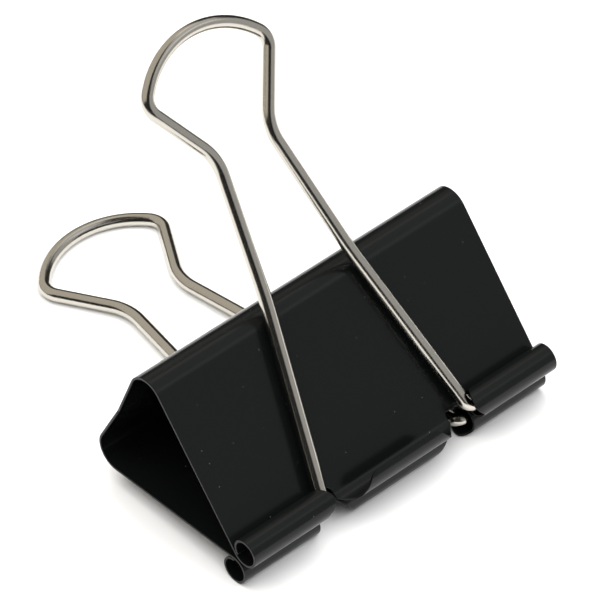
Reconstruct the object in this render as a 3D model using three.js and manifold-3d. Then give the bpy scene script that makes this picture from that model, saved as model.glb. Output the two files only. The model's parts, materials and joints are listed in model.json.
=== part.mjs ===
// A large binder clip, closed and empty, lying on one of its two plates.
//
// The real clip is three pieces: one folded spring-steel body and two bent wire handles.
// The body flexes at its two bends when it opens, so here it is three solids, cut through
// the middle of each bend: the spine, and a jaw on each side that turns about its bend.
//
// The clip's own frame, before it is laid down: X runs along the lips, Y from the lips
// towards the spine, and Z from the middle plane of the clip towards the front plate.
// Units are millimetres.

import * as THREE from "three";
import { mergeVertices } from "three/addons/utils/BufferGeometryUtils.js";
import Module from "manifold-3d";

const wasm = await Module();
wasm.setup();

const degrees = THREE.MathUtils.degToRad;

// Spring body
const WIDTH = 50.8; // along the lips
const SHEET = 0.4; // thickness of the spring steel
const TUBE_RADIUS = 2.05; // outside of the rolled tubes along each lip
const LIP_GAP = 0.3; // between the two closed lips
const PLATE_ANGLE = degrees(26); // each plate, from the middle plane
const PLATE_LENGTH = 26.45; // from the tube's tangent line to the sharp outer corner
const BEND_RADIUS = 2.94; // outside of each bend
const SPINE_SLOPE = degrees(3); // each half of the spine leans in towards its middle crease
const SPLIT_GAP = 0.3; // cut through each bend
const SEAM_GAP = 0.3; // from a tube's free edge to the plate it curls back to

// Tubes, tab and notches of each lip
const TUBE_INNER_END = 13.1; // each tube runs from here out to the end of the body
const TAB_HALF_WIDTH = 9.6; // the tab between the notches, where it leaves the plate
const TAB_EDGE_HALF_WIDTH = 5.45; // the same at the tab's free edge
const TAB_TURN = degrees(181); // how far the tab curls round
const NOTCH_DEPTH = 0.9; // the notches, from the tubes' tangent line up the plate

// Wire handles
const WIRE_RADIUS = 0.875;
const PIN_END = 23.5; // half the distance between the pins' ends
const LEG_FOOT = 12.27; // half the distance between the legs, on the pins' axis
const LEG_KINK = { x: 6.89, y: 25 };
const NECK = { x: 4.19, y: 42.98 };
const PIN_BEND_RADIUS = 1.2;
const KINK_RADIUS = 60;
const NECK_RADIUS = 6.5;
const SHOULDER_RADIUS = 2.3;
const DOME_RADIUS = 11.8;
const HANDLE_REACH = 58.05; // from the pins' axis to the middle of the wire at the top
const SHOULDER_SLOPE = degrees(31.3); // the loop's sides, from the handle's own axis
const CORNER_GAP = 0.3; // from a handle folded back to the bend that it rests against
const FRONT_PIN_OFFSET = -0.4; // pins lie loose in the tubes: towards the middle plane
const REAR_PIN_OFFSET = 0.15; // and away from it

// Facets
const ARC_DIVISIONS = 12; // half the number of facets of an arc in a profile
const WIRE_DIVISIONS = 4; // half the number of steps of a bend in the wire
const WIRE_SIDES = 12;

const unit = (angle) => new THREE.Vector2(Math.cos(angle), Math.sin(angle));
const step = (from, direction, distance) => from.clone().addScaledVector(direction, distance);

// Side view of the front half of the body. In these points x is the clip's Y, y its Z.
const along = unit(PLATE_ANGLE);
const outward = unit(PLATE_ANGLE + Math.PI / 2);
const tubeCentre = new THREE.Vector2(0, TUBE_RADIUS + LIP_GAP / 2);
const tangentAngle = PLATE_ANGLE - Math.PI / 2;
const plateFoot = step(tubeCentre, outward, SHEET - TUBE_RADIUS);
const corner = step(plateFoot, along, PLATE_LENGTH);
const bendTurn = PLATE_ANGLE + Math.PI / 2 + SPINE_SLOPE;
const bendStart = step(corner, along, -BEND_RADIUS * Math.tan(bendTurn / 2));
const bendCentre = step(bendStart, outward, -BEND_RADIUS);
const plateNormalAngle = PLATE_ANGLE + Math.PI / 2;
const spineNormalAngle = -SPINE_SLOPE;
const splitAngle = (plateNormalAngle + spineNormalAngle) / 2;
const splitHalfAngle = SPLIT_GAP / 2 / (BEND_RADIUS - SHEET / 2);
const seamReach = -(TUBE_RADIUS - SHEET - SEAM_GAP) / TUBE_RADIUS;
const tubeFreeAngle = plateNormalAngle - Math.acos(seamReach);
const tubeTurn = 2 * Math.PI + tangentAngle - tubeFreeAngle;

// Outline of a jaw from the side: the sheet follows half of the bend, the plate, and the
// roll at the lip. The plate's inner face becomes the outside of the roll.
function jawProfile(rollTurn) {
  const rollEnd = tangentAngle - rollTurn;
  const bendEnd = splitAngle + splitHalfAngle;
  const { x: rollX, y: rollY } = tubeCentre;
  const { x: bendX, y: bendY } = bendCentre;
  const shape = new THREE.Shape();
  shape.absarc(rollX, rollY, TUBE_RADIUS, rollEnd, tangentAngle, false);
  shape.absarc(bendX, bendY, BEND_RADIUS - SHEET, plateNormalAngle, bendEnd, true);
  shape.absarc(bendX, bendY, BEND_RADIUS, bendEnd, plateNormalAngle, false);
  shape.absarc(rollX, rollY, TUBE_RADIUS - SHEET, tangentAngle, rollEnd, true);
  return shape;
}

// Outline of the spine from the side: two half bends, joined by two flats that meet in a
// shallow crease on the middle plane.
function spineProfile() {
  const bendEnd = splitAngle - splitHalfAngle;
  const { x: bendX, y: bendY } = bendCentre;
  const creaseDepth = (radius) => {
    const flatEnd = step(bendCentre, unit(spineNormalAngle), radius);
    return flatEnd.x - flatEnd.y * Math.tan(SPINE_SLOPE);
  };
  const inner = BEND_RADIUS - SHEET;
  const shape = new THREE.Shape();
  shape.absarc(bendX, bendY, BEND_RADIUS, bendEnd, spineNormalAngle, true);
  shape.lineTo(creaseDepth(BEND_RADIUS), 0);
  shape.absarc(bendX, -bendY, BEND_RADIUS, -spineNormalAngle, -bendEnd, true);
  shape.absarc(bendX, -bendY, inner, -bendEnd, -spineNormalAngle, false);
  shape.lineTo(creaseDepth(inner), 0);
  shape.absarc(bendX, bendY, inner, spineNormalAngle, bendEnd, false);
  return shape;
}

// A side-view shape made solid along X, from one place to another.
function acrossWidth(shape, from, to) {
  const geometry = new THREE.ExtrudeGeometry(shape, {
    depth: to - from,
    bevelEnabled: false,
    curveSegments: ARC_DIVISIONS,
  });
  const basis = new THREE.Matrix4().makeBasis(
    new THREE.Vector3(0, 1, 0),
    new THREE.Vector3(0, 0, 1),
    new THREE.Vector3(1, 0, 0),
  );
  return geometry.applyMatrix4(basis).translate(from, 0, 0);
}

// A shape drawn in X and Z made solid along Y, between two depths.
function acrossDepth(shape, from, to) {
  const geometry = new THREE.ExtrudeGeometry(shape, { depth: to - from, bevelEnabled: false });
  const basis = new THREE.Matrix4().makeBasis(
    new THREE.Vector3(1, 0, 0),
    new THREE.Vector3(0, 0, 1),
    new THREE.Vector3(0, -1, 0),
  );
  return geometry.applyMatrix4(basis).translate(0, to, 0);
}

function toSolid(geometry) {
  const bare = geometry.clone();
  bare.deleteAttribute("normal");
  bare.deleteAttribute("uv");
  const merged = mergeVertices(bare);
  return new wasm.Manifold(
    new wasm.Mesh({
      numProp: 3,
      vertProperties: new Float32Array(merged.attributes.position.array),
      triVerts: new Uint32Array(merged.index.array),
    }),
  );
}

function toGeometry(solid) {
  const mesh = solid.getMesh();
  const geometry = new THREE.BufferGeometry();
  geometry.setAttribute("position", new THREE.BufferAttribute(mesh.vertProperties, 3));
  geometry.setIndex(new THREE.BufferAttribute(mesh.triVerts, 1));
  geometry.computeVertexNormals();
  return geometry;
}

// What is cut from the fully rolled lip to leave two tubes, two notches and the tab.
function lipCutters() {
  const clear = 0.3; // how far a cutter passes the sheet that it cuts
  const overTab = new THREE.Shape();
  const { x: rollX, y: rollY } = tubeCentre;
  const tabFreeAngle = tangentAngle - TAB_TURN + 2 * Math.PI;
  const pastSeam = tubeFreeAngle - degrees(2);
  overTab.absarc(rollX, rollY, TUBE_RADIUS + clear, tabFreeAngle, pastSeam, true);
  overTab.lineTo(rollX, rollY);
  const cutters = [acrossWidth(overTab, -TUBE_INNER_END, TUBE_INNER_END)];

  const lowest = -TUBE_RADIUS - clear;
  const notchCorner = (depth, height) =>
    step(step(tubeCentre, along, depth), outward, height);
  const notch = new THREE.Shape([
    notchCorner(lowest, lowest),
    notchCorner(NOTCH_DEPTH, lowest),
    notchCorner(NOTCH_DEPTH, TUBE_RADIUS + clear),
    notchCorner(lowest, TUBE_RADIUS + clear),
  ]);
  cutters.push(acrossWidth(notch, TAB_HALF_WIDTH, TUBE_INNER_END));
  cutters.push(acrossWidth(notch, -TUBE_INNER_END, -TAB_HALF_WIDTH));

  const slantFoot = LIP_GAP / 2 + 2 * SHEET;
  const slantTop = tubeCentre.y + TUBE_RADIUS + clear;
  const pastTab = (TAB_HALF_WIDTH + TUBE_INNER_END) / 2;
  for (const side of [-1, 1]) {
    const outline = [
      new THREE.Vector2(side * TAB_HALF_WIDTH, slantFoot),
      new THREE.Vector2(side * pastTab, slantFoot),
      new THREE.Vector2(side * pastTab, slantTop),
      new THREE.Vector2(side * TAB_EDGE_HALF_WIDTH, slantTop),
    ];
    cutters.push(acrossDepth(new THREE.Shape(outline), lowest, -SHEET / 2));
  }
  return cutters;
}

function jawGeometry() {
  const rolled = toSolid(acrossWidth(jawProfile(tubeTurn), -WIDTH / 2, WIDTH / 2));
  return toGeometry(lipCutters().reduce((solid, cut) => solid.subtract(toSolid(cut)), rolled));
}

// The wire's middle line in the handle's own plane, for the half on the +X side, from the
// pin's end to the top of the loop. y is the distance from the pins' axis.
function halfWireLine() {
  const path = new THREE.Path();
  const foot = new THREE.Vector2(LEG_FOOT, 0);
  const kink = new THREE.Vector2(LEG_KINK.x, LEG_KINK.y);
  const neck = new THREE.Vector2(NECK.x, NECK.y);
  const domeCentre = new THREE.Vector2(0, HANDLE_REACH - DOME_RADIUS);

  // The shoulder arc touches the loop's straight side and, from inside, the dome.
  const side = unit(Math.PI / 2 - SHOULDER_SLOPE);
  const inwards = unit(Math.PI - SHOULDER_SLOPE);
  const offset = step(neck, inwards, SHOULDER_RADIUS).sub(domeCentre);
  const reach = DOME_RADIUS - SHOULDER_RADIUS;
  const half = offset.dot(side);
  const run = -half + Math.sqrt(half * half - offset.lengthSq() + reach * reach);
  const shoulder = step(step(neck, side, run), inwards, SHOULDER_RADIUS);
  const joinAngle = shoulder.clone().sub(domeCentre).angle();

  path.moveTo(PIN_END, 0);
  roundCorner(path, new THREE.Vector2(PIN_END, 0), foot, kink, PIN_BEND_RADIUS);
  roundCorner(path, foot, kink, neck, KINK_RADIUS);
  roundCorner(path, kink, neck, step(neck, side, run), NECK_RADIUS);
  path.absarc(shoulder.x, shoulder.y, SHOULDER_RADIUS, -SHOULDER_SLOPE, joinAngle, false);
  path.absarc(domeCentre.x, domeCentre.y, DOME_RADIUS, joinAngle, Math.PI / 2, false);
  return path.getPoints(WIRE_DIVISIONS);
}

// Adds the arc that rounds the corner between two straight stretches of the wire.
function roundCorner(path, before, at, after, radius) {
  const arriving = at.clone().sub(before).normalize();
  const leaving = after.clone().sub(at).normalize();
  const turn = Math.atan2(arriving.cross(leaving), arriving.dot(leaving));
  const left = Math.sign(turn);
  const start = step(at, arriving, -radius * Math.tan(Math.abs(turn) / 2));
  path.lineTo(start.x, start.y);
  const normal = new THREE.Vector2(-arriving.y, arriving.x).multiplyScalar(left);
  const centre = step(start, normal, radius);
  const from = normal.clone().negate().angle();
  path.absarc(centre.x, centre.y, radius, from, from + turn, left < 0);
}

// A curve through given stations, so that a sweep has one ring at each of them.
class WireLine extends THREE.Curve {
  constructor(stations) {
    super();
    this.stations = stations;
  }

  getPointAt(u) {
    return this.stations[Math.round(u * (this.stations.length - 1))].clone();
  }

  getTangentAt(u) {
    const last = this.stations.length - 1;
    const here = Math.round(u * last);
    const before = this.stations[Math.max(here - 1, 0)];
    const after = this.stations[Math.min(here + 1, last)];
    const arriving = this.stations[here].clone().sub(before).normalize();
    const leaving = after.clone().sub(this.stations[here]).normalize();
    return arriving.add(leaving).normalize();
  }
}

function handleGeometry() {
  const half = halfWireLine();
  const otherHalf = half
    .slice(0, -1)
    .reverse()
    .map((point) => new THREE.Vector2(-point.x, point.y));
  const stations = [...half, ...otherHalf].map((point) => new THREE.Vector3(point.x, point.y, 0));
  const section = new THREE.Shape();
  section.absarc(0, 0, WIRE_RADIUS, 0, 2 * Math.PI, false);
  return new THREE.ExtrudeGeometry(section, {
    extrudePath: new WireLine(stations),
    steps: stations.length - 1,
    bevelEnabled: false,
    curveSegments: WIRE_SIDES / 2,
  });
}

// Height of a handle's pins above the middle plane.
const pinHeight = (offset) => tubeCentre.y + offset;

// Angle of a handle folded back against its bend, from the middle plane.
function foldedAngle(offset) {
  const toBend = bendCentre.clone().sub(new THREE.Vector2(0, pinHeight(offset)));
  const reach = BEND_RADIUS + WIRE_RADIUS + CORNER_GAP;
  return toBend.angle() + Math.asin(reach / toBend.length());
}

// Angle that lays the clip on its rear tubes and the end of its rear handle.
function restingTilt() {
  const rearAngle = foldedAngle(REAR_PIN_OFFSET);
  const handleEnd = step(
    new THREE.Vector2(0, -pinHeight(REAR_PIN_OFFSET)),
    unit(-rearAngle),
    HANDLE_REACH,
  );
  const reach = handleEnd.clone().sub(new THREE.Vector2(0, -tubeCentre.y));
  return -Math.atan2(reach.y, reach.x) - Math.asin((TUBE_RADIUS - WIRE_RADIUS) / reach.length());
}

const enamel = () =>
  new THREE.MeshStandardMaterial({ color: 0x16181a, roughness: 0.28, metalness: 0.0 });
const nickel = () =>
  new THREE.MeshStandardMaterial({ color: 0xb4b2ac, roughness: 0.16, metalness: 1.0 });

function named(name, geometry, material) {
  const mesh = new THREE.Mesh(geometry, material);
  mesh.name = name;
  return mesh;
}

const clip = new THREE.Group();

const spineBlank = acrossWidth(spineProfile(), -WIDTH / 2, WIDTH / 2);
clip.add(named("spring_back", spineBlank, enamel()));

const jaw = jawGeometry();
clip.add(named("front_jaw", jaw, enamel()));
const rearJaw = named("rear_jaw", jaw.clone(), enamel());
rearJaw.rotation.y = Math.PI;
clip.add(rearJaw);

const handle = handleGeometry();
const frontHandle = named("front_handle", handle, nickel());
frontHandle.position.z = pinHeight(FRONT_PIN_OFFSET);
frontHandle.rotation.x = foldedAngle(FRONT_PIN_OFFSET);
clip.add(frontHandle);
const rearHandle = named("rear_handle", handle.clone(), nickel());
rearHandle.position.z = -pinHeight(REAR_PIN_OFFSET);
rearHandle.rotation.x = -foldedAngle(REAR_PIN_OFFSET);
clip.add(rearHandle);

// Laid down, with the origin at the middle of its footprint.
clip.rotation.x = restingTilt();
clip.updateMatrixWorld(true);
const extent = new THREE.Box3().setFromObject(clip, true);
const middle = extent.getCenter(new THREE.Vector3());
clip.position.set(-middle.x, -middle.y, -extent.min.z);

export default clip;
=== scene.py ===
"""A large black binder clip with nickel-plated wire handles, lying on a pale table."""

import json
import math

import bmesh
import bpy
import numpy as np
from mathutils import Matrix, Vector


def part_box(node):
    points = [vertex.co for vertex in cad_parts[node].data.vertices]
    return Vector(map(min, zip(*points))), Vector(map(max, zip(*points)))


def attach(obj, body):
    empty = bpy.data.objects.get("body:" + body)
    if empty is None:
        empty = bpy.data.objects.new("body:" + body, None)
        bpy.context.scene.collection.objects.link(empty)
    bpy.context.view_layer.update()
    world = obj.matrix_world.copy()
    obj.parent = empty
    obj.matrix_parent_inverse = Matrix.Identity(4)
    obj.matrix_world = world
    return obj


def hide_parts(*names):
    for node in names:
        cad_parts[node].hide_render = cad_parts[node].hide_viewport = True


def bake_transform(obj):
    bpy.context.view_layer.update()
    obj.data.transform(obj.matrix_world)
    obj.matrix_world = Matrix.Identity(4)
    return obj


MM = 0.001
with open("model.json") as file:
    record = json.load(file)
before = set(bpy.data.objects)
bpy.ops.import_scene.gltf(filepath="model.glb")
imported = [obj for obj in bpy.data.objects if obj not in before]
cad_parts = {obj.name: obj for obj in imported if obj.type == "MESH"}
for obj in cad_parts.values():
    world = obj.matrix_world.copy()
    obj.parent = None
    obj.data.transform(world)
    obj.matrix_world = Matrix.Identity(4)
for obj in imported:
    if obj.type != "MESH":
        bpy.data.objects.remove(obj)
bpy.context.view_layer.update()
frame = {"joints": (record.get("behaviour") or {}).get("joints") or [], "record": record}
record = frame["record"]

# ---------------------------------------------------------------- sizes, in metres

SHEET = 0.32 * MM
TUBE_RADIUS = 2.05 * MM  # outside of the rolled tubes, and of the tab between them
LIP_GAP = 0.3 * MM
PLATE_ANGLE = math.radians(26)  # each plate, from the middle plane of the clip
PLATE_LENGTH = 26.45 * MM  # from the tubes' tangent line to the sharp outer corner
BEND_RADIUS = 2.94 * MM  # outside of each bend
SPINE_SLOPE = math.radians(3)  # each half of the spine leans in towards its crease

TUBE_TURN = math.radians(336)  # how far round each tube is rolled
ROLL_CURL = 0.16  # how much tighter a tube is curled at its free edge than at its start
TUBE_INNER_END = 13.0 * MM
TONGUE_REACH = 1.2 * MM  # how far each tube's inner end bulges on the outward side
TONGUE_MIDDLE = math.radians(118)  # where round the tube it reaches furthest
TONGUE_SPREAD = (math.radians(54), math.radians(78))  # past its middle, and before it
TAB_HALF_WIDTH = 9.6 * MM
TAB_EDGE_HALF_WIDTH = 5.5 * MM
TAB_CORNER = 0.6 * MM
TAB_TURN = math.radians(181)
TAB_TAPER_START = math.radians(30)
NOTCH_DEPTH = 0.9 * MM
NOTCH_CORNER = 0.88 * MM
EDGE_EASE = SHEET * 0.22  # rounding of the sheet's cut edges

# Grid rows in each stretch of the sheet, from the crease to the tubes' free edge, and grid
# columns over a tube, a notch, the tab, the other notch and the other tube
SHEET_ROWS = [10, 30, 24, 8, 3, 34, 12, 46]
SHEET_COLUMNS = [16, 8, 26, 8, 16]
NOTCH_STRIPS = (1, 3)
TAB_STRIP = 2
HEADING_STEPS = 6000  # short steps along the sheet that its side view is summed over

WIRE_RADIUS = 0.875 * MM
WIRE_SIDES = 28
WIRE_CUT_EDGE = 0.12 * MM
WIRE_END_SIZES = np.array([0, 0.82, 0.95, 1])  # the rings at a pin's cut end
WIRE_END_PLACES = np.array([0, 0, 0.35, 1])  # how far in they lie, in shares of the cut edge
WIRE_SPACING = 0.45 * MM  # between places on the wire's straight stretches
ARC_PLACES = 24  # places on each arc of the wire's line
PIN_END = 23.5 * MM
LEG_FOOT = 12.27 * MM
LEG_KINK = (6.89 * MM, 25.0 * MM)
NECK = (4.19 * MM, 42.98 * MM)
PIN_BEND_RADIUS = 1.4 * MM
PIN_STRAIGHT_STOP = PIN_BEND_RADIUS * 1.6  # from the foot to where the straight pin ends
KINK_RADIUS = 60 * MM
NECK_RADIUS = 6.5 * MM
SHOULDER_RADIUS = 2.3 * MM
DOME_RADIUS = 11.8 * MM
HANDLE_REACH = 58.05 * MM
SHOULDER_SLOPE = math.radians(31.3)
SAME_PLACE = 1e-7  # places nearer than this are one place

# ---------------------------------------------------------------- the clip's own frame

# Across is along the lips, inward is from the lips to the spine, and up is from the middle
# plane of the clip towards its front plate.
lips = next(mount for mount in record["mounts"] if mount["name"] == "lips")
LIPS = np.array(lips["pos_m"])
ACROSS = np.array([1.0, 0.0, 0.0])
INWARD = -np.array(lips["axis"])
UP = np.cross(ACROSS, INWARD)
HALF_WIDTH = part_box("front_jaw")[1][0]
hinges = {joint["name"]: np.array(joint["pos_m"]) for joint in frame["joints"]}


def in_row_frame(across, inward, up):
    """Points of the clip's own frame, as an array with one row for each, in the row frame."""
    return (
        LIPS
        + np.multiply.outer(across, ACROSS)
        + np.multiply.outer(inward, INWARD)
        + np.multiply.outer(up, UP)
    )


def direction(angle):
    """Unit vectors (inward, up) at an angle, or an array of angles, from the middle plane."""
    return np.stack([np.cos(angle), np.sin(angle)], axis=-1)


# ---------------------------------------------------------------- the side view of the sheet

plate_normal = PLATE_ANGLE + math.pi / 2
tangent_angle = PLATE_ANGLE - math.pi / 2
tube_centre = np.array([0.0, TUBE_RADIUS + LIP_GAP / 2])
bend_turn = PLATE_ANGLE + math.pi / 2 + SPINE_SLOPE
plate_foot = tube_centre + (SHEET - TUBE_RADIUS) * direction(plate_normal)
corner = plate_foot + PLATE_LENGTH * direction(PLATE_ANGLE)
corner_cut = BEND_RADIUS * math.tan(bend_turn / 2)
bend_start = corner - corner_cut * direction(PLATE_ANGLE)
bend_centre = bend_start - BEND_RADIUS * direction(plate_normal)
BEND_MIDDLE = BEND_RADIUS - SHEET / 2
TUBE_MIDDLE = TUBE_RADIUS - SHEET / 2
spine_top = bend_centre + BEND_MIDDLE * direction(-SPINE_SLOPE)
crease = np.array([spine_top[0] - spine_top[1] * math.tan(SPINE_SLOPE), 0.0])

# Distances along the sheet's middle surface, from the crease in the spine
spine_end = spine_top[1] / math.cos(SPINE_SLOPE)
bend_end = spine_end + BEND_MIDDLE * bend_turn
plate_end = bend_end + PLATE_LENGTH - corner_cut
tube_end = plate_end + TUBE_MIDDLE * TUBE_TURN
tab_end = plate_end + TUBE_MIDDLE * TAB_TURN
notch_root = plate_end - NOTCH_DEPTH


def along_sheet(distance):
    """The side view of the sheet's middle surface, at distances from the crease.

    Its heading starts up the spine, turns steadily through the bend, stays the same down the
    plate, and turns back the other way round the roll, a little faster towards the free
    edge. The place is the running sum of short steps along the heading.
    """
    fine = np.linspace(0, tube_end, HEADING_STEPS + 1)
    in_bend = np.clip(fine - spine_end, 0, bend_end - spine_end)
    in_roll = np.clip(fine - plate_end, 0, None)
    tighter = 1 + ROLL_CURL / 2 * (in_roll / (tube_end - plate_end)) ** 2
    heading = (
        math.pi / 2 - SPINE_SLOPE + in_bend / BEND_MIDDLE - in_roll * tighter / TUBE_MIDDLE
    )
    middles = (heading[1:] + heading[:-1]) / 2
    steps = direction(middles) * np.diff(fine)[:, None]
    places = crease + np.vstack([np.zeros(2), np.cumsum(steps, axis=0)])
    inward = np.interp(distance, fine, places[:, 0])
    up = np.interp(distance, fine, places[:, 1])
    return inward, up


def rounding(distance, radius):
    """How far a rounded corner of a radius is cut back, at distances from its edge."""
    inside = np.clip(radius - distance, 0, radius)
    return radius - np.sqrt(radius**2 - inside**2)


def tube_inner_end(distance):
    """The inner end of the tubes, as distances from the clip's middle.

    It is straight, with a rounded tongue on the outward side, and a rounded corner at the
    root of the notch.
    """
    turned = np.clip(distance - plate_end, 0, None) / TUBE_MIDDLE
    around = (tangent_angle - turned) % (2 * math.pi)
    spread = np.where(around > TONGUE_MIDDLE, *TONGUE_SPREAD)
    from_tongue = np.clip(np.abs(around - TONGUE_MIDDLE) / spread, 0, 1)
    tongue = TONGUE_REACH * np.cos(from_tongue * math.pi / 2)
    return TUBE_INNER_END - tongue - rounding(distance - notch_root, NOTCH_CORNER)


def tab_half_width(distance):
    """Half the tab's width: straight sides at first, and then a steady taper to its edge."""
    taper_start = plate_end + TUBE_MIDDLE * TAB_TAPER_START
    taper = np.clip((distance - taper_start) / (tab_end - taper_start), 0, 1)
    width = TAB_HALF_WIDTH + (TAB_EDGE_HALF_WIDTH - TAB_HALF_WIDTH) * taper
    width = width + rounding(distance - notch_root, NOTCH_CORNER)
    return width - rounding(tab_end - distance, TAB_CORNER)


# ---------------------------------------------------------------- meshes


def new_piece(name, places, faces, materials):
    """A mesh object from an array of places and an array of four-cornered faces."""
    used, corners = np.unique(faces, return_inverse=True)
    mesh = bpy.data.meshes.new(name)
    mesh.from_pydata(places[used].tolist(), [], corners.reshape(faces.shape).tolist())
    for material in materials:
        mesh.materials.append(material)
    mesh.polygons.foreach_set("use_smooth", np.ones(len(mesh.polygons), dtype=bool))
    mesh.update()
    piece = bpy.data.objects.new(name, mesh)
    bpy.context.scene.collection.objects.link(piece)
    return piece


def grid_faces(rows, columns):
    """Four-cornered faces of a grid, as an array of rows by columns by corners."""
    index = np.arange(rows * columns).reshape(rows, columns)
    return np.stack([index[:-1, :-1], index[:-1, 1:], index[1:, 1:], index[1:, :-1]], axis=-1)


def stretches(ends, counts):
    """One list of rising values that passes through each of the ends."""
    parts = [
        np.linspace(start, end, count, endpoint=False)
        for start, end, count in zip(ends[:-1], ends[1:], counts)
    ]
    return np.concatenate(parts + [[ends[-1]]])


def sheet_half(name, side, materials):
    """Half of the folded sheet, from the crease in the spine to one lip.

    A grid of places along the sheet and across it. Across, the columns run from the end of
    the body to the tube's inner end, over the notch, and over the tab, and again in mirror
    image. Faces in the notches and past the tab's edge are left out. side is 1 for the
    front half and -1 for the rear half.
    """
    along = stretches(
        [0, spine_end, bend_end, notch_root, notch_root + NOTCH_CORNER, plate_end]
        + [tab_end - TAB_CORNER, tab_end, tube_end],
        SHEET_ROWS,
    )
    tube = tube_inner_end(along)
    tab = tab_half_width(along)
    end = np.full_like(along, HALF_WIDTH)
    keys = np.stack([-end, -tube, -tab, tab, tube, end])
    column = stretches(range(len(keys)), SHEET_COLUMNS)
    lower = np.minimum(column.astype(int), len(keys) - 2)
    part = (column - lower)[:, None]
    across = (keys[lower] * (1 - part) + keys[lower + 1] * part).T
    inward, up = along_sheet(along)
    shape = across.shape
    places = in_row_frame(
        across.ravel(),
        np.broadcast_to(inward[:, None], shape).ravel(),
        np.broadcast_to(side * up[:, None], shape).ravel(),
    )

    faces = grid_faces(*shape)
    middle = (along[:-1] + along[1:]) / 2
    strip = np.floor((column[:-1] + column[1:]) / 2).astype(int)
    in_notch = np.isin(strip, NOTCH_STRIPS)[None, :] & (middle > notch_root)[:, None]
    past_tab = (strip == TAB_STRIP)[None, :] & (middle > tab_end)[:, None]
    kept = faces[~(in_notch | past_tab)]
    piece = new_piece(name, places, kept if side > 0 else kept[:, ::-1], materials)

    # Every open edge is eased, except where the two halves meet in the crease.
    mesh = piece.data
    ends = np.empty(len(mesh.edges) * 2, dtype=int)
    mesh.edges.foreach_get("vertices", ends)
    loops = np.empty(len(mesh.loops), dtype=int)
    mesh.loops.foreach_get("edge_index", loops)
    open_edge = np.bincount(loops, minlength=len(mesh.edges)) == 1
    spots = np.empty(len(mesh.vertices) * 3)
    mesh.vertices.foreach_get("co", spots)
    height = (spots.reshape(-1, 3) - LIPS) @ UP * side
    at_crease = (height[ends.reshape(-1, 2)] < SHEET / 4).all(axis=1)
    deep = ((spots.reshape(-1, 3) - LIPS) @ INWARD)[ends.reshape(-1, 2)].min(axis=1)
    at_crease &= deep > crease[0] / 2
    eased = mesh.attributes.new("bevel_weight_edge", "FLOAT", "EDGE")
    eased.data.foreach_set("value", (open_edge & ~at_crease).astype(np.float32))

    wall = piece.modifiers.new("sheet thickness", "SOLIDIFY")
    wall.thickness = SHEET
    wall.offset = 0
    wall.use_even_offset = True
    wall.material_offset_rim = 1
    ease = piece.modifiers.new("eased edges", "BEVEL")
    ease.width = EDGE_EASE
    ease.segments = 3
    ease.limit_method = "WEIGHT"
    ease.harden_normals = True
    return piece


def rounded_corner(before, at, after, radius, count):
    """The arc that rounds the corner between two straight lines, as an array of places."""
    arriving = (at - before) / np.linalg.norm(at - before)
    leaving = (after - at) / np.linalg.norm(after - at)
    turn = math.atan2(
        arriving[0] * leaving[1] - arriving[1] * leaving[0], float(arriving @ leaving)
    )
    start = at - arriving * radius * math.tan(abs(turn) / 2)
    normal = np.array([-arriving[1], arriving[0]]) * math.copysign(1, turn)
    centre = start + normal * radius
    first = math.atan2(-normal[1], -normal[0])
    return centre + radius * direction(first + np.linspace(0, turn, count))


def handle_line():
    """The middle line of a handle's wire in its own plane, from pin to pin.

    Half of it is straight lines joined by arcs: the pin, the leg with its slight kink, the
    neck, the loop's straight side, the shoulder, and the dome. The other half mirrors it.
    """
    pin = np.array([PIN_END, 0.0])
    foot = np.array([LEG_FOOT, 0.0])
    kink = np.array(LEG_KINK)
    neck = np.array(NECK)
    dome = np.array([0.0, HANDLE_REACH - DOME_RADIUS])
    side = direction(math.pi / 2 - SHOULDER_SLOPE)
    inwards = direction(math.pi - SHOULDER_SLOPE)
    offset = neck + inwards * SHOULDER_RADIUS - dome
    half = float(offset @ side)
    reach = DOME_RADIUS - SHOULDER_RADIUS
    run = -half + math.sqrt(half**2 - float(offset @ offset) + reach**2)
    shoulder = neck + side * run + inwards * SHOULDER_RADIUS
    join = math.atan2(*(shoulder - dome)[::-1])
    shoulder_turn = np.linspace(-SHOULDER_SLOPE, join, ARC_PLACES)
    parts = [
        np.linspace(pin, foot + [PIN_STRAIGHT_STOP, 0], ARC_PLACES),
        rounded_corner(pin, foot, kink, PIN_BEND_RADIUS, ARC_PLACES),
        rounded_corner(foot, kink, neck, KINK_RADIUS, ARC_PLACES),
        rounded_corner(kink, neck, neck + side * run, NECK_RADIUS, ARC_PLACES),
        shoulder + SHOULDER_RADIUS * direction(shoulder_turn),
        dome + DOME_RADIUS * direction(np.linspace(join, math.pi / 2, ARC_PLACES)),
    ]
    line = np.vstack(parts)
    line = np.vstack([line, (line * [-1, 1])[-2::-1]])
    step = np.linalg.norm(np.diff(line, axis=0), axis=1)
    line = line[np.concatenate([[True], step > SAME_PLACE])]
    return evenly(line, WIRE_SPACING)


def evenly(line, spacing):
    """The same line with extra places on its long straight stretches."""
    step = np.linalg.norm(np.diff(line, axis=0), axis=1)
    distance = np.concatenate([[0], np.cumsum(step)])
    extra = np.arange(spacing, distance[-1], spacing)
    far = np.abs(extra[:, None] - distance[None, :]).min(axis=1) > spacing / 2
    wanted = np.sort(np.concatenate([distance, extra[far]]))
    return np.stack([np.interp(wanted, distance, line[:, i]) for i in (0, 1)], axis=-1)


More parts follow.
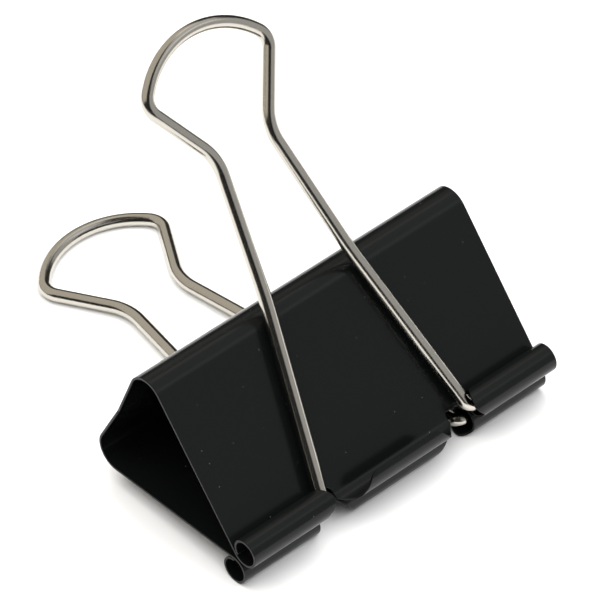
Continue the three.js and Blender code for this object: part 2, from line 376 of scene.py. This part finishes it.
def wire_handle(name, body, side, materials):
    """A handle: a round profile carried along the wire's line.

    At each pin's cut end the profile shrinks over three more rings, first a little, for the
    rounded edge, and then to the middle of the cut. side is 1 for the front handle and -1
    for the rear handle, which is its mirror image.
    """
    line = handle_line()
    tangent = np.gradient(line, axis=0)
    tangent /= np.linalg.norm(tangent, axis=1)[:, None]
    start = line[0] + np.multiply.outer(WIRE_END_PLACES, WIRE_CUT_EDGE * tangent[0])
    stop = (start * [-1, 1])[::-1]
    size = np.concatenate([WIRE_END_SIZES, np.ones(len(line) - 4), WIRE_END_SIZES[::-1]])
    tangent = np.vstack([[tangent[0]] * 4, tangent[2:-2], [tangent[-1]] * 4])
    line = np.vstack([start, line[2:-2], stop])
    normal = np.stack([-tangent[:, 1], tangent[:, 0]], axis=-1)
    turn = np.linspace(0, 2 * math.pi, WIRE_SIDES, endpoint=False)
    radius = (WIRE_RADIUS * size)[:, None]
    flat = line[:, None, :] + normal[:, None, :] * (radius * np.cos(turn))[:, :, None]
    proud = radius * np.sin(turn)

    pins = hinges[body + "_turn"] - LIPS
    angle = handle_angle(body, side)
    inward = pins @ INWARD + flat[:, :, 1] * math.cos(angle) - proud * math.sin(angle)
    up = side * (pins @ UP) + flat[:, :, 1] * math.sin(angle) + proud * math.cos(angle)
    places = in_row_frame(flat[:, :, 0].ravel(), inward.ravel(), side * up.ravel())
    index = np.arange(len(line) * WIRE_SIDES).reshape(-1, WIRE_SIDES)
    index = np.hstack([index, index[:, :1]])
    faces = np.stack([index[:-1, :-1], index[:-1, 1:], index[1:, 1:], index[1:, :-1]], axis=-1)
    piece = new_piece(name, places, faces.reshape(-1, 4), materials)
    join_and_face_outward(piece)
    return piece


def handle_angle(body, side):
    """The angle of a handle from the middle plane, from where the end of its loop is."""
    low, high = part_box(body)
    pins = hinges[body + "_turn"]
    furthest = high[1] - WIRE_RADIUS - pins[1]
    highest = (high[2] - WIRE_RADIUS if side > 0 else low[2] + WIRE_RADIUS) - pins[2]
    reach = np.array([0, furthest, highest])
    return math.atan2(side * (reach @ UP), reach @ INWARD)


def join_and_face_outward(piece):
    """Joins places that coincide, as at the middle of a cut end, and turns faces outwards."""
    edit = bmesh.new()
    edit.from_mesh(piece.data)
    bmesh.ops.remove_doubles(edit, verts=edit.verts, dist=SAME_PLACE)
    bmesh.ops.recalc_face_normals(edit, faces=edit.faces)
    edit.to_mesh(piece.data)
    edit.free()


# ---------------------------------------------------------------- materials

ENAMEL_COLOUR = (0.0042, 0.0050, 0.0048)
ENAMEL_ROUGHNESS = 0.2
RIM_COLOUR = (0.004, 0.0046, 0.0046)
RIM_ROUGHNESS = 0.35
ENAMEL_SPECULAR = 0.2
GRAIN_SCALE = 900
GRAIN_DETAIL = 2
GRAIN_STRENGTH = 0.1
GRAIN_DEPTH = 0.01 * MM
DUST_COLOUR = (0.14, 0.15, 0.145)
DUST_SPACING = 1.1 * MM
DUST_SIZE = 0.07 * MM
DUST_SHARE = 0.28  # of the cells that hold a speck

NICKEL_COLOUR = (0.52, 0.495, 0.445)
NICKEL_ROUGHNESS = 0.19
DENT_SCALE = 1600
DENT_DETAIL = 3
DENT_STRENGTH = 0.35
DENT_DEPTH = 0.02 * MM

TABLE_COLOUR = (0.9, 0.9, 0.9)
TABLE_ROUGHNESS = 0.9


def new_material(name):
    """A new material, with its node tree and its shader."""
    material = bpy.data.materials.new(name)
    material.use_nodes = True
    tree = material.node_tree
    return material, tree, tree.nodes["Principled BSDF"]


def enamel_material(name, colour, roughness):
    """Gloss enamel: one colour, a very slight grain, and a few tiny specks of pale dust."""
    material, tree, surface = new_material(name)
    surface.inputs["Roughness"].default_value = roughness
    surface.inputs["Specular IOR Level"].default_value = ENAMEL_SPECULAR
    where = tree.nodes.new("ShaderNodeTexCoord")
    grain = tree.nodes.new("ShaderNodeTexNoise")
    grain.inputs["Scale"].default_value = GRAIN_SCALE
    grain.inputs["Detail"].default_value = GRAIN_DETAIL
    bump = tree.nodes.new("ShaderNodeBump")
    bump.inputs["Strength"].default_value = GRAIN_STRENGTH
    bump.inputs["Distance"].default_value = GRAIN_DEPTH
    tree.links.new(where.outputs["Object"], grain.inputs["Vector"])
    tree.links.new(grain.outputs["Fac"], bump.inputs["Height"])
    tree.links.new(bump.outputs["Normal"], surface.inputs["Normal"])

    # Dust sits at the middle of some of the cells of a fine cell pattern.
    cells = tree.nodes.new("ShaderNodeTexVoronoi")
    cells.inputs["Scale"].default_value = 1 / DUST_SPACING
    near = tree.nodes.new("ShaderNodeMapRange")
    near.inputs["From Min"].default_value = DUST_SIZE / DUST_SPACING
    near.inputs["From Max"].default_value = DUST_SIZE / DUST_SPACING / 2
    chosen = tree.nodes.new("ShaderNodeMath")
    chosen.operation = "GREATER_THAN"
    chosen.inputs[1].default_value = 1 - DUST_SHARE
    pick = tree.nodes.new("ShaderNodeSeparateColor")
    speck = tree.nodes.new("ShaderNodeMath")
    speck.operation = "MULTIPLY"
    tint = tree.nodes.new("ShaderNodeMix")
    tint.data_type = "RGBA"
    tint.inputs["A"].default_value = (*colour, 1)
    tint.inputs["B"].default_value = (*DUST_COLOUR, 1)
    tree.links.new(where.outputs["Object"], cells.inputs["Vector"])
    tree.links.new(cells.outputs["Distance"], near.inputs["Value"])
    tree.links.new(cells.outputs["Color"], pick.inputs["Color"])
    tree.links.new(pick.outputs["Red"], chosen.inputs[0])
    tree.links.new(near.outputs["Result"], speck.inputs[0])
    tree.links.new(chosen.outputs["Value"], speck.inputs[1])
    tree.links.new(speck.outputs["Value"], tint.inputs["Factor"])
    tree.links.new(tint.outputs["Result"], surface.inputs["Base Color"])
    return material


def nickel_material():
    """Bright nickel plate, with shallow dents all over."""
    material, tree, surface = new_material("nickel plate")
    surface.inputs["Base Color"].default_value = (*NICKEL_COLOUR, 1)
    surface.inputs["Metallic"].default_value = 1
    surface.inputs["Roughness"].default_value = NICKEL_ROUGHNESS
    where = tree.nodes.new("ShaderNodeTexCoord")
    dents = tree.nodes.new("ShaderNodeTexNoise")
    dents.inputs["Scale"].default_value = DENT_SCALE
    dents.inputs["Detail"].default_value = DENT_DETAIL
    bump = tree.nodes.new("ShaderNodeBump")
    bump.inputs["Strength"].default_value = DENT_STRENGTH
    bump.inputs["Distance"].default_value = DENT_DEPTH
    tree.links.new(where.outputs["Object"], dents.inputs["Vector"])
    tree.links.new(dents.outputs["Fac"], bump.inputs["Height"])
    tree.links.new(bump.outputs["Normal"], surface.inputs["Normal"])
    return material


def table_material():
    """A matt white sheet."""
    material, _, surface = new_material("white table")
    surface.inputs["Base Color"].default_value = (*TABLE_COLOUR, 1)
    surface.inputs["Roughness"].default_value = TABLE_ROUGHNESS
    surface.inputs["Specular IOR Level"].default_value = 0.0
    return material


# ---------------------------------------------------------------- the clip


enamel = enamel_material("black enamel", ENAMEL_COLOUR, ENAMEL_ROUGHNESS)
rim = enamel_material("enamel on the cut edge", RIM_COLOUR, RIM_ROUGHNESS)
nickel = nickel_material()

for half, side in (("front", 1), ("rear", -1)):
    sheet = sheet_half(half + "_half_of_body", side, [enamel, rim])
    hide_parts(half + "_jaw", "spring_back")
    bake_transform(sheet)

    wire = wire_handle(half + "_wire_handle", half + "_handle", side, [nickel])
    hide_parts(half + "_handle")
    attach(wire, half + "_handle")

# ---------------------------------------------------------------- table, light and camera

TABLE_SIZE = 6.0
table = new_piece(
    "table",
    np.array([[-1, -1, 0], [1, -1, 0], [1, 1, 0], [-1, 1, 0]]) * TABLE_SIZE / 2,
    np.array([[0, 1, 2, 3]]),
    [table_material()],
)


def soft_light(
    name, azimuth, elevation, distance, size, power, colour=(1, 1, 1), in_reflections=True
):
    """A flat soft light that faces the clip, placed round it by angles in degrees."""
    data = bpy.data.lights.new(name, "AREA")
    data.shape = "RECTANGLE"
    data.size, data.size_y = size
    data.energy = power
    data.color = colour
    lamp = bpy.data.objects.new(name, data)
    back = towards(azimuth, elevation)
    lamp.location = AIM + back * distance
    lamp.rotation_mode = "QUATERNION"
    lamp.rotation_quaternion = (-back).to_track_quat("-Z", "Y")
    lamp.visible_glossy = in_reflections
    bpy.context.scene.collection.objects.link(lamp)


def towards(azimuth, elevation):
    """The direction from the clip to a place round it. Azimuth 0 is the lips' side."""
    turn, rise = math.radians(azimuth), math.radians(elevation)
    level = math.cos(rise)
    return Vector((math.sin(turn) * level, -math.cos(turn) * level, math.sin(rise)))


AIM = Vector((0, -11.53 * MM, 19.30 * MM))
CAMERA_AZIMUTH = -43.485
CAMERA_ELEVATION = 43.725
CAMERA_ROLL = math.radians(1.04)
CAMERA_DISTANCE = 688.8 * MM
LENS = 337.98
SENSOR_WIDTH = 36
NEAREST, FARTHEST = 0.01, 20.0  # what the camera sees, in metres
WORLD_COLOUR = (0.03, 0.03, 0.029)

soft_light(
    "overhead softbox",
    azimuth=0,
    elevation=88,
    distance=0.9,
    size=(1.6, 1.6),
    power=24,
    in_reflections=False,
)
soft_light("right card", azimuth=35, elevation=25, distance=0.8, size=(1.6, 0.8), power=2.0)
soft_light("top card", azimuth=75, elevation=60, distance=0.8, size=(0.9, 0.45), power=0.85)
soft_light(
    "back card",
    azimuth=-155,
    elevation=48,
    distance=0.8,
    size=(1.9, 1.4),
    power=5.6,
    colour=(1, 0.93, 0.82),
)

world = bpy.data.worlds.new("studio")
world.use_nodes = True
world.node_tree.nodes["Background"].inputs["Color"].default_value = (*WORLD_COLOUR, 1)
bpy.context.scene.world = world
bpy.context.scene.view_settings.view_transform = "Standard"

lens = bpy.data.cameras.new("camera")
lens.lens = LENS
lens.sensor_width = SENSOR_WIDTH
lens.clip_start = NEAREST
lens.clip_end = FARTHEST
camera = bpy.data.objects.new("camera", lens)
bpy.context.scene.collection.objects.link(camera)
back = towards(CAMERA_AZIMUTH, CAMERA_ELEVATION)
camera.location = AIM + back * CAMERA_DISTANCE
turned = (-back).to_track_quat("-Z", "Y").to_matrix() @ Matrix.Rotation(CAMERA_ROLL, 3, "Z")
camera.rotation_mode = "QUATERNION"
camera.rotation_quaternion = turned.to_quaternion()
bpy.context.scene.camera = camera
